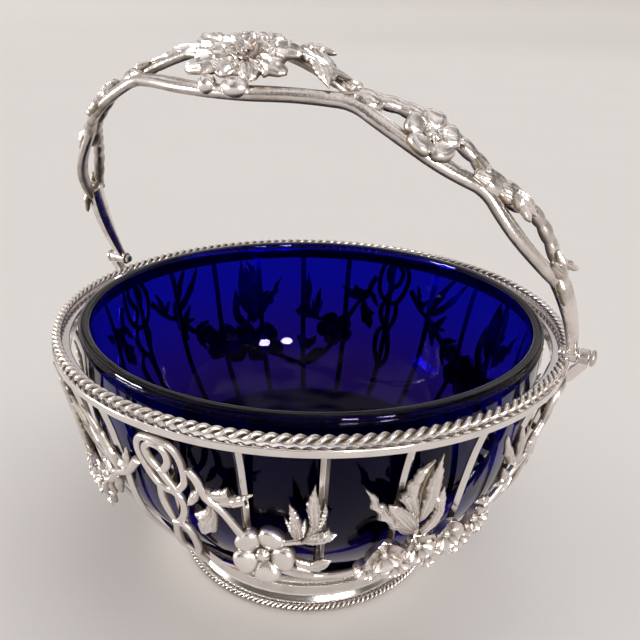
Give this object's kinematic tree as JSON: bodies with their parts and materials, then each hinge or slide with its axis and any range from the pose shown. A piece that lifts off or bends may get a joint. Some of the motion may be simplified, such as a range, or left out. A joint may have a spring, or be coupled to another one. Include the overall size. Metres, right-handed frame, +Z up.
{
  "type": "swing-handle basket",
  "caption": "Silver wirework basket with a lift-out blue glass liner, rope rims, applied bows and flower swags, and an openwork swing handle.",
  "frame": {"origin": "middle of the foot's underside, on the bowl's axis", "axes": "+Z up along the bowl's axis, +X along the handle's hinge axis, -Y the way the handle leans"},
  "size_m": [0.132, 0.1226, 0.1268],
  "materials": {
    "polished_silver": "polished silver, softly worn",
    "cast_silver": "cast and chased silver, tarnished dark in the recesses",
    "blue_glass": "deep cobalt blue, polished"
  },
  "bodies": {
    "basket": {"foot_collar": "polished_silver", "foot_rope": "cast_silver", "base_dish": "polished_silver", "bar_01": "polished_silver", "bar_02": "polished_silver", "bar_03": "polished_silver", "bar_04": "polished_silver", "bar_05": "polished_silver", "bar_06": "polished_silver", "bar_07": "polished_silver", "bar_08": "polished_silver", "bar_09": "polished_silver", "bar_10": "polished_silver", "bar_11": "polished_silver", "bar_12": "polished_silver", "bar_13": "polished_silver", "bar_14": "polished_silver", "bar_15": "polished_silver", "bar_16": "polished_silver", "bar_17": "polished_silver", "bar_18": "polished_silver", "bar_19": "polished_silver", "bar_20": "polished_silver", "bar_21": "polished_silver", "bar_22": "polished_silver", "bar_23": "polished_silver", "bar_24": "polished_silver", "rim_band": "polished_silver", "rim_rope": "cast_silver", "bow_front": "cast_silver", "bow_right": "cast_silver", "bow_back": "cast_silver", "bow_left": "cast_silver", "swag_1": "cast_silver", "swag_2": "cast_silver", "swag_3": "cast_silver", "swag_4": "cast_silver", "hinge_lug_left": "polished_silver", "hinge_lug_right": "polished_silver", "hinge_pin_left": "polished_silver", "hinge_pin_right": "polished_silver"},
    "liner": {"glass_liner": "blue_glass"},
    "handle": {"handle_casting": "polished_silver", "handle_rose": "cast_silver", "handle_flower_left": "cast_silver", "handle_flower_right": "cast_silver", "handle_leaf_left": "cast_silver", "handle_leaf_right": "cast_silver", "handle_small_leaf_left": "cast_silver", "handle_small_leaf_right": "cast_silver"}
  },
  "joints": [
    {"name": "handle_swing", "type": "hinge", "parent": "basket", "child": "handle", "pos_m": [0, 0, 0.0685], "axis": [1, 0, 0], "range_deg": [-112.7, 51.3]},
    {"name": "liner_lift", "type": "slide", "parent": "basket", "child": "liner", "axis": [0, 0, 1], "range_m": [0, 0.02]}
  ]
}
